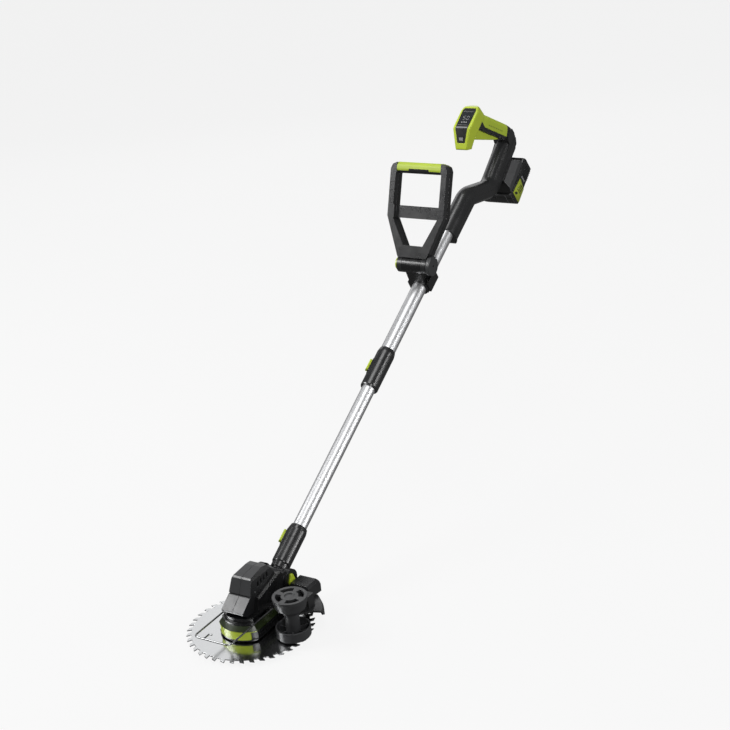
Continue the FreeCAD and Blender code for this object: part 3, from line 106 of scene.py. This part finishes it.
def add_studio():
    """Pale round floor, grey surround and five soft boxes."""
    mesh = bpy.data.meshes.new("floor")
    corners = [(x, y, 0) for x, y in circle(FLOOR_RADIUS, FLOOR_STEPS)]
    mesh.from_pydata(corners, [], [list(range(FLOOR_STEPS))])
    floor = bpy.data.objects.new("floor", mesh)
    floor.location = (0, 0, -FLOOR_DROP)
    bpy.context.scene.collection.objects.link(floor)
    mesh.materials.append(floor_material())
    floor.visible_diffuse = False
    floor.visible_glossy = False
    world = bpy.data.worlds.new("studio")
    world.use_nodes = True
    background = world.node_tree.nodes["Background"]
    background.inputs["Color"].default_value = SURROUND
    background.inputs["Strength"].default_value = SURROUND_STRENGTH
    bpy.context.scene.world = world
    for light in LIGHTS:
        add_light(*light)
    view = bpy.context.scene.view_settings
    view.view_transform = "Standard"
    view.look = "None"


# --- material nodes -------------------------------------------------------------------------
class Graph:
    """Adds nodes to one material and wires them up. Noise is in object coordinates."""

    def __init__(self, name):
        self.material = bpy.data.materials.new(name)
        self.material.use_nodes = True
        self.tree = self.material.node_tree
        self.shader = self.tree.nodes["Principled BSDF"]
        self.position = self.tree.nodes.new("ShaderNodeTexCoord").outputs["Object"]

    def feed(self, socket, value):
        """Link another node's output to the socket, or set the socket's own value."""
        if hasattr(value, "links"):
            self.tree.links.new(value, socket)
        else:
            socket.default_value = value

    def surface(self, **inputs):
        """Feed the shader's sockets; an underscore stands for a space in their names."""
        for key, value in inputs.items():
            self.feed(self.shader.inputs[key.replace("_", " ")], value)

    def add(self, kind, settings=None, **inputs):
        """A new node with its settings, and its sockets fed as in surface()."""
        node = self.tree.nodes.new("ShaderNode" + kind)
        for key, value in (settings or {}).items():
            setattr(node, key, value)
        for key, value in inputs.items():
            self.feed(node.inputs[key.replace("_", " ")], value)
        return node

    def stretched(self, scale):
        return self.add("Mapping", Vector=self.position, Scale=scale).outputs[0]

    def noise(self, scale, detail=3.0, rough=0.55, vector=None):
        node = self.add("TexNoise", Vector=vector or self.position, Scale=scale, Detail=detail,
                        Roughness=rough)
        return node.outputs["Fac"]

    def spread(self, value, low, high, out_low, out_high):
        """Maps low..high to out_low..out_high and holds it there."""
        node = self.add("MapRange", Value=value)
        for i, number in enumerate((low, high, out_low, out_high)):
            node.inputs[i + 1].default_value = number
        return node.outputs[0]

    def maths(self, operation, a, b):
        node = self.add("Math", {"operation": operation})
        for socket, value in zip(node.inputs, (a, b)):
            self.feed(socket, value)
        return node.outputs[0]

    def mix(self, factor, a, b):
        """Colour a at factor 0 to colour b at factor 1."""
        node = self.add("Mix", {"data_type": "RGBA"})
        sockets = {s.name: s for s in node.inputs if s.enabled}
        self.feed(sockets["Factor"], factor)
        for name, colour in (("A", a), ("B", b)):
            self.feed(sockets[name], colour if hasattr(colour, "links") else (*colour, 1))
        return [s for s in node.outputs if s.enabled][0]

    def edges(self, radius, flat_dot=0.96, edge_dot=0.72):
        """0 on flats to 1 on sharp edges, with the rounded normal."""
        rounded_normal = self.add("Bevel", {"samples": 4}, Radius=radius).outputs[0]
        normal = self.add("NewGeometry").outputs["Normal"]
        dot = self.add("VectorMath", {"operation": "DOT_PRODUCT"})
        self.feed(dot.inputs[0], rounded_normal)
        self.feed(dot.inputs[1], normal)
        return self.spread(dot.outputs["Value"], flat_dot, edge_dot, 0.0, 1.0), rounded_normal

    def bump(self, height, strength, distance, normal):
        """Bumps over the given normal, or over the surface's own where it is None."""
        node = self.add("Bump", Height=height, Strength=strength, Distance=distance)
        if normal is not None:
            self.feed(node.inputs["Normal"], normal)
        return node.outputs[0]


MOULD_DEPTH = 0.00012
LINE_DEPTH = 0.0001


def times(colour, factor):
    return tuple(min(1.0, c * factor) for c in colour)


def plastic(name, colour, rough, grain=0.16, edge_wear_and_highlight=2.2, coat=0.0, radius=0.0009,
            rounding=True):
    """Moulded plastic: fine spark texture, slow colour drift, dust, and edges lightened partly by
    wear and partly as a painted highlight.
    """
    g = Graph(name)
    mask, rounded_normal = g.edges(radius)
    drift = g.spread(g.noise(14.0, 4.0), 0.3, 0.7, 0.0, 1.0)
    body = g.mix(drift, times(colour, 0.90), times(colour, 1.10))
    scuffs = g.spread(g.noise(55.0, 6.0, 0.7), 0.60, 0.78, 0.0, 0.28)
    body = g.mix(scuffs, body, times(colour, 1.22))
    # Edges are lightened by the edge mask: partly wear, partly a painted highlight where the
    # edges catch the light.
    wear_and_highlight = g.maths("MULTIPLY", mask, g.spread(g.noise(160.0, 3.0), 0.25, 0.75, 0.35, 0.9))
    body = g.mix(wear_and_highlight, body, times(colour, edge_wear_and_highlight))
    patch = g.spread(g.noise(38.0, 5.0, 0.6), 0.3, 0.7, rough - 0.05, rough + 0.07)
    finish = g.maths("SUBTRACT", patch, g.maths("MULTIPLY", wear_and_highlight, 0.10))
    spark = g.add("TexVoronoi", {"feature": "SMOOTH_F1"}, Vector=g.position, Scale=1500.0)
    height = g.maths("ADD", g.noise(2600.0, 2.0), spark.outputs["Distance"])
    normal = g.bump(height, grain, MOULD_DEPTH, rounded_normal if rounding else None)
    g.surface(Base_Color=body, Roughness=finish, Normal=normal, Specular_IOR_Level=0.8,
              Coat_Weight=coat, Coat_Roughness=0.2)
    return name, g.material


def metal(name, colour, rough, along=(1, 1, 1), lines=900.0, depth=0.12, stain=0.12,
          grain=0.22, rounding=True):
    """Machined or drawn metal: fine lines one way, faint stains, and edges lightened partly by
    wear and partly as a painted highlight.
    """
    g = Graph(name)
    mask, rounded_normal = g.edges(0.0005)
    streak = g.noise(lines, 2.0, 0.5, g.stretched(along))
    cloud = g.spread(g.noise(22.0, 5.0, 0.6), 0.3, 0.75, 0.0, 1.0)
    body = g.mix(g.maths("MULTIPLY", cloud, stain), colour, times(colour, 0.72))
    body = g.mix(g.spread(streak, 0.3, 0.7, 0.0, grain), body, times(colour, 0.80))
    # Edges are lightened to 1.35 times the colour: partly wear, partly a painted highlight.
    body = g.mix(g.maths("MULTIPLY", mask, 0.6), body, times(colour, 1.35))
    finish = g.spread(g.maths("ADD", streak, g.maths("MULTIPLY", cloud, 0.4)), 0.3, 1.1,
                      rough - 0.3 * grain, rough + 0.4 * grain)
    normal = g.bump(streak, depth, LINE_DEPTH, rounded_normal if rounding else None)
    g.surface(Base_Color=body, Roughness=finish, Normal=normal, Metallic=1.0)
    return name, g.material


def floor_material():
    """Dull and near white by its own light, with a faint drift."""
    g = Graph("studio_floor")
    cloud = g.spread(g.noise(3.0, 2.0), 0.3, 0.7, 0.0, 1.0)
    body = g.mix(cloud, (0.060, 0.060, 0.060), (0.063, 0.063, 0.063))
    g.surface(Base_Color=body, Roughness=0.9, Specular_IOR_Level=0.0,
              Emission_Color=(1, 1, 1, 1), Emission_Strength=0.875)
    return g.material


def glass(name):
    """Tinted window over the display, with faint wipe marks."""
    g = Graph(name)
    smear = g.noise(70.0, 4.0, 0.6, g.stretched((1, 0.3, 0.3)))
    body = g.mix(smear, (0.012, 0.014, 0.016), (0.03, 0.034, 0.038))
    g.surface(Base_Color=body, Roughness=g.spread(smear, 0.3, 0.7, 0.04, 0.14),
              Coat_Weight=0.6)
    return name, g.material


def build_plastics():
    """Pairs of a slot's name and its material."""
    dark = (0.016, 0.0164, 0.0173)
    black = (0.006, 0.0062, 0.0066)
    grey = (0.036, 0.037, 0.039)
    lime = (0.50, 0.62, 0.030)
    return (
        plastic("black_plastic", black, 0.27),
        plastic("dark_plastic", dark, 0.29),
        plastic("sleeve_plastic", dark, 0.25, 0.04, rounding=False),
        plastic("grey_plastic", grey, 0.38, edge_wear_and_highlight=2.4),
        plastic("light_plastic", (0.22, 0.225, 0.23), 0.40, edge_wear_and_highlight=1.5),
        plastic("pale_plastic", (0.42, 0.425, 0.43), 0.35, edge_wear_and_highlight=1.2),
        plastic("green_shadow", (0.016, 0.026, 0.005), 0.30, edge_wear_and_highlight=3.0),
        plastic("lime_plastic", lime, 0.30, 0.07, edge_wear_and_highlight=1.2, coat=0.25, radius=0.0018),
        plastic("lime_button", lime, 0.32, 0.08, edge_wear_and_highlight=1.2, coat=0.2),
        plastic("lime_dark", (0.16, 0.21, 0.012), 0.5, 0.1, edge_wear_and_highlight=1.2),
        plastic("soft_grip", (0.44, 0.565, 0.030), 0.50, 0.3, edge_wear_and_highlight=1.2),
        plastic("board_green", (0.02, 0.12, 0.05), 0.3, 0.05, coat=0.4),
        plastic("cell_wrap", (0.05, 0.17, 0.36), 0.25, 0.04, coat=0.3),
        plastic("lead_sheath", (0.02, 0.02, 0.022), 0.5),
    )


def build_metals():
    """Pairs of a slot's name and its material."""
    return (
        metal("tube_silver", (0.76, 0.765, 0.78), 0.42, lines=240.0, depth=0.004, stain=0.03,
              grain=0.04, rounding=False),
        metal("blade_steel", (0.66, 0.67, 0.68), 0.16, lines=300.0, depth=0.002, stain=0.04,
              grain=0.05),
        metal("wire_steel", (0.40, 0.405, 0.41), 0.20, lines=700.0, depth=0.05),
        metal("zinc_steel", (0.52, 0.53, 0.54), 0.32, along=(1, 1, 0.2)),
        metal("gear_steel", (0.40, 0.40, 0.41), 0.30, along=(1, 1, 0.1)),
        metal("spring_steel", (0.48, 0.48, 0.49), 0.28),
        metal("motor_steel", (0.50, 0.51, 0.52), 0.30, along=(1, 1, 0.05)),
        metal("contact_brass", (0.78, 0.58, 0.24), 0.25, lines=700.0),
    )


# --- finishes of the CAD nodes ----------------------------------------------------------------
NODE_CREASE = 28.0                             # degrees; sharper edges stay crisp
# These have the sleeves' smoother finish in place of their slot's own.
GLOSSY_NODES = ("head_sleeve", "lock_sleeve", "neck_yoke", "housing_left", "housing_right")
BEVEL_Z = 0.0318                               # the green band's slope, which gets painted shade, starts here in front
FLANK_BEVEL_Z = 0.0296                         # and here along its flanks,
FLANK_X = 0.033                                # which are this far from the middle
FLANK_Y = -0.02


# Picks the green band's sloping top, which is given a dark green as painted shade.
def on_band_slope(centre, normal):
    flank = abs(centre.x) > FLANK_X and centre.y > FLANK_Y
    return centre.z > (FLANK_BEVEL_Z if flank else BEVEL_Z)


def faces_sideways(least):
    return lambda centre, normal: abs(normal.x) > least


def second_finish(name, material, wanted):
    """Give the node's faces that wanted(centre, normal) picks another material."""
    node = NODES[name]
    node.data.materials.append(material)
    index = len(node.data.materials) - 1
    world = node.matrix_world
    turn = world.to_3x3()
    for polygon in node.data.polygons:
        if wanted(world @ polygon.center, turn @ polygon.normal):
            polygon.material_index = index


def shade(mesh, crease):
    """Smooth shading, with the edges sharper than crease degrees left crisp."""
    for polygon in mesh.polygons:
        polygon.use_smooth = True
    mesh.set_sharp_from_angle(angle=math.radians(crease))


def paint_nodes(materials):
    """Every CAD node gets its slot's finish, and a few get a second one: painted shade on the
    green band's slope and on the motor housing's flanks, and grey sides on the battery dock.
    """
    slots = {s["node"]: s["material_slot"] for s in frame["record"]["subparts"]}
    for name, node in NODES.items():
        finish = "sleeve_plastic" if name in GLOSSY_NODES else slots[name]
        node.data.materials.clear()
        node.data.materials.append(materials[finish])
        for polygon in node.data.polygons:
            polygon.material_index = 0
        shade(node.data, NODE_CREASE)
    # Painted shade: the green band's slope gets the dark green_shadow plastic.
    second_finish("green_band", materials["green_shadow"], on_band_slope)
    second_finish("battery_dock", materials["grey_plastic"], faces_sideways(0.55))
    # Painted shade: the motor housing's sideways flanks get a darker plastic than its front.
    for name in ("motor_housing_left", "motor_housing_right"):
        second_finish(name, materials["dark_plastic"], faces_sideways(0.9))


# --- places of the fine pieces: millimetres and degrees, and pairs are (y, z) ------------------
SIDES = (("right", 1), ("left", -1))
BEND = (1007.8, 541.4)                         # the rear housing's second bend
CORNER = (1118.0, 631.3)                       # the rear housing's top corner
PACK_SLOPE = math.degrees(math.atan2(CORNER[1] - BEND[1], CORNER[0] - BEND[0]))
PACK_HALF = 40.0
PACK_FOOT = 12.5
GRIP_TILT = 66.2
GRIP_HALF = 17.0
HANDLE_PIVOT = (669.013, 472.573)
HANDLE_TILT = -18.0
HANDLE_BACK = 14.0
POD_BEND = (905.0, 697.0)
POD_RUN = math.atan2(34.0, 50.0)
PLATE_CREASE = 35.0
SCREW_CREASE = 40.0


def local_frame(origin, tilt):
    """Maps (x, y, z) millimetres of a tilted frame to a world point in metres."""
    c, s = math.cos(math.radians(tilt)), math.sin(math.radians(tilt))

    def place(x, ly, lz):
        return Vector((x, origin[0] + ly * c - lz * s, origin[1] + ly * s + lz * c)) / 1000.0
    return place


PACK_FRAME = local_frame(BEND, PACK_SLOPE - 90.0)
GRIP_FRAME = local_frame(CORNER, GRIP_TILT)
HANDLE_FRAME = local_frame(HANDLE_PIVOT, HANDLE_TILT)


def pod_face(x, t, out):
    """A point over the display face: t runs up it from the bend, out stands off it."""
    y = POD_BEND[0] + t * math.cos(POD_RUN) - out * math.sin(POD_RUN)
    z = POD_BEND[1] + t * math.sin(POD_RUN) + out * math.cos(POD_RUN)
    return Vector((x, y, z)) / 1000.0


def add_piece(name, bm, material, crease, body):
    """Turn the bmesh into a shaded piece that rides on the body."""
    bmesh.ops.recalc_face_normals(bm, faces=bm.faces)
    mesh = bpy.data.meshes.new(name)
    bm.to_mesh(mesh)
    bm.free()
    mesh.materials.append(material)
    shade(mesh, crease)
    piece = bpy.data.objects.new(name, mesh)
    bpy.context.scene.collection.objects.link(piece)
    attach(piece, body)


def plate(name, outlines, place, low, high, material, body):
    """Thin plates with soft rims over outlines; place(a, b, lift) gives a corner's point."""
    bm = bmesh.new()
    for outline in outlines:
        bottom = [bm.verts.new(place(a, b, low)) for a, b in outline]
        top = [bm.verts.new(place(a, b, high)) for a, b in outline]
        bm.faces.new(bottom[::-1])
        cap = bm.faces.new(top)
        for i in range(len(outline)):
            j = (i + 1) % len(outline)
            bm.faces.new((bottom[i], bottom[j], top[j], top[i]))
        bmesh.ops.bevel(bm, geom=list(cap.edges), offset=0.25 * (high - low) / 1000.0,
                        segments=2, affect="EDGES", profile=0.6)
    add_piece(name, bm, material, PLATE_CREASE, body)


def rounded(a0, a1, b0, b1, r, steps=2):
    """Outline of a rectangle with round corners."""
    points = []
    for ca, cb, start in ((a1 - r, b1 - r, 0), (a0 + r, b1 - r, 90), (a0 + r, b0 + r, 180),
                          (a1 - r, b0 + r, 270)):
        for i in range(steps + 1):
            angle = math.radians(start + 90 * i / steps)
            points.append((ca + r * math.cos(angle), cb + r * math.sin(angle)))
    return points


def segment_bars(x, t, width, tall, lit):
    """Bars of one seven-segment figure, from the names of its lit segments."""
    w, h = width / 2, tall / 2
    thick, gap = 0.55, 0.9
    low, high = (t + gap, t + h - gap), (t + h + gap, t + tall - gap)
    spots = {
        "a": (x - w, x + w, t + tall - thick, t + tall + thick),
        "g": (x - w, x + w, t + h - thick, t + h + thick),
        "d": (x - w, x + w, t - thick, t + thick),
        "f": (x - w - thick, x - w + thick, *high),
        "b": (x + w - thick, x + w + thick, *high),
        "e": (x - w - thick, x - w + thick, *low),
        "c": (x + w - thick, x + w + thick, *low),
    }
    return [rounded(*spots[name], 0.4) for name in lit]


def on_flank(place, half, sign):
    """Lays an outline on one flank of a body that is half wide each way from the middle."""
    return lambda a, b, lift: place(sign * (half + lift), a, b)


def add_display(materials):
    """Figures and a charge gauge under the window, its rims, and a pale strip at the bend that is
    a painted highlight.
    """
    figures = segment_bars(-3.6, 24.0, 4.6, 10.0, "acdfg")
    figures += segment_bars(4.4, 24.0, 4.6, 10.0, "abcdef")
    figures += [rounded(-7.0 + 3.6 * i, -4.3 + 3.6 * i, 15.5, 18.5, 0.5) for i in range(4)]
    rims = [rounded(-12.2, 12.2, 8.6, 9.4, 0.3), rounded(-11.6, 11.6, 46.2, 47.0, 0.3)]
    # Pale strip across the bend: a painted highlight where the bend catches the light.
    strip = [rounded(-13.6, 13.6, 0.4, 4.6, 1.2, steps=4)]
    for name, outlines, low, high, finish in (
            ("display_figures", figures, 0.02, 0.12, "pale_plastic"),
            ("display_rims", rims, 0.0, 0.35, "light_plastic"),
            ("bend_highlight_strip", strip, 0.0, 0.30, "light_plastic")):
        plate(name, outlines, pod_face, low, high, materials[finish], "rear_unit")


def add_battery_trim(materials):
    """Plain coloured label with bars, small marks, ribs and fine moulded lines on the pack."""
    label = [(44.0, 19.5), (81.0, 19.5), (82.0, 24.0), (82.0, 57.5), (54.0, 64.0),
             (50.0, 62.5), (44.0, 28.0)]
    bars = [[(49.0, 25.0), (58.0, 25.0), (64.0, 33.0), (56.5, 33.0)]]
    bars += [rounded(55.0 + 2.0 * i, 74.0 + i, 38.0 + 5.0 * i, 40.4 + 5.0 * i, 0.8)
             for i in range(4)]
    marks = [rounded(54.0 + 5.0 * i, 57.2 + 5.0 * i, 69.0, 73.5, 0.7) for i in range(4)]
    ribs = [rounded(52.0, 82.0, 80.0 + 4.6 * i, 82.2 + 4.6 * i, 0.8) for i in range(6)]
    trims = (("label", [label], 0.0, 0.25, "lime_plastic"),
             ("bars", bars, 0.25, 0.40, "black_plastic"),
             ("marks", marks, 0.0, 0.20, "pale_plastic"),
             ("ribs", ribs, 0.0, 0.55, "dark_plastic"))
    for word, sign in SIDES:
        flank = on_flank(PACK_FRAME, PACK_HALF, sign)
        for trim, outlines, low, high, finish in trims:
            plate("pack_%s_%s" % (trim, word), outlines, flank, low, high, materials[finish],
                  "battery")
    lines = [rounded(-39.0, 39.0, 44.2, 45.0, 0.3)]
    lines += [rounded(x - 0.4, x + 0.4, 45.0, 70.0, 0.3) for x in (-21.5, 21.5, -36.5, 36.5)]
    plate("pack_lines", lines, lambda a, b, lift: PACK_FRAME(a, b, PACK_FOOT - lift), 0.0, 0.35,
          materials["light_plastic"], "battery")


def add_grip_trim(materials):
    """A row of small dimples along both flanks of the grip's cover."""
    dots = [rounded(-2.6, -0.6, 62.0 + 9.0 * i, 67.0 + 9.0 * i, 0.9, steps=3) for i in range(8)]
    for word, sign in SIDES:
        plate("grip_dimples_" + word, dots, on_flank(GRIP_FRAME, GRIP_HALF, sign), 0.0, 0.2,
              materials["lime_dark"], "rear_unit")


def add_screw(name, place, r, material, body, steps=36):
    """Pan-head screw: domed rim, flat face and a six-lobed socket."""
    bm = bmesh.new()
    rings = [[bm.verts.new(place(x, y, lift)) for x, y in circle(radius, steps)]
             for radius, lift in ((r, 0.0), (r, 0.5), (r * 0.92, 0.95), (r * 0.78, 1.15),
                                  (r * 0.52, 1.2))]
    for lift in (1.2, 0.35):
        ring = []
        for i in range(steps):
            angle = 2 * math.pi * i / steps
            lobe = r * (0.42 + 0.06 * math.cos(6 * angle))
            ring.append(bm.verts.new(place(lobe * math.cos(angle), lobe * math.sin(angle), lift)))
        rings.append(ring)
    for lower, upper in zip(rings[:-1], rings[1:]):
        for i in range(steps):
            j = (i + 1) % steps
            bm.faces.new((lower[i], lower[j], upper[j], upper[i]))
    bm.faces.new(rings[-1])
    bm.faces.new(rings[0][::-1])
    add_piece(name, bm, material, SCREW_CREASE, body)


def add_screws(materials):
    """Screws in the motor housing's flanks and in the D-handle's rear shell."""
    zinc = materials["zinc_steel"]
    for word, sign in SIDES:
        add_screw("motor_screw_" + word,
                  lambda a, b, lift, k=sign: Vector((k * (20.6 + lift), -4 + a, 88 + b)) / 1000,
                  2.3, zinc, "head")
    spots = [(sign * x, h) for x, h in ((57.0, 104.0), (57.0, 176.0), (40.0, 60.0))
             for sign in (-1, 1)]
    for i, (x, h) in enumerate(spots):
        add_screw("handle_screw_%d" % i,
                  lambda a, b, lift, x=x, h=h: HANDLE_FRAME(x + a, HANDLE_BACK + lift, h + b),
                  2.6, zinc, "d_handle")


MATERIALS = dict(build_plastics() + build_metals() + (glass("lens_clear"),))
add_camera()
add_studio()
paint_nodes(MATERIALS)
add_display(MATERIALS)
add_battery_trim(MATERIALS)
add_grip_trim(MATERIALS)
add_screws(MATERIALS)
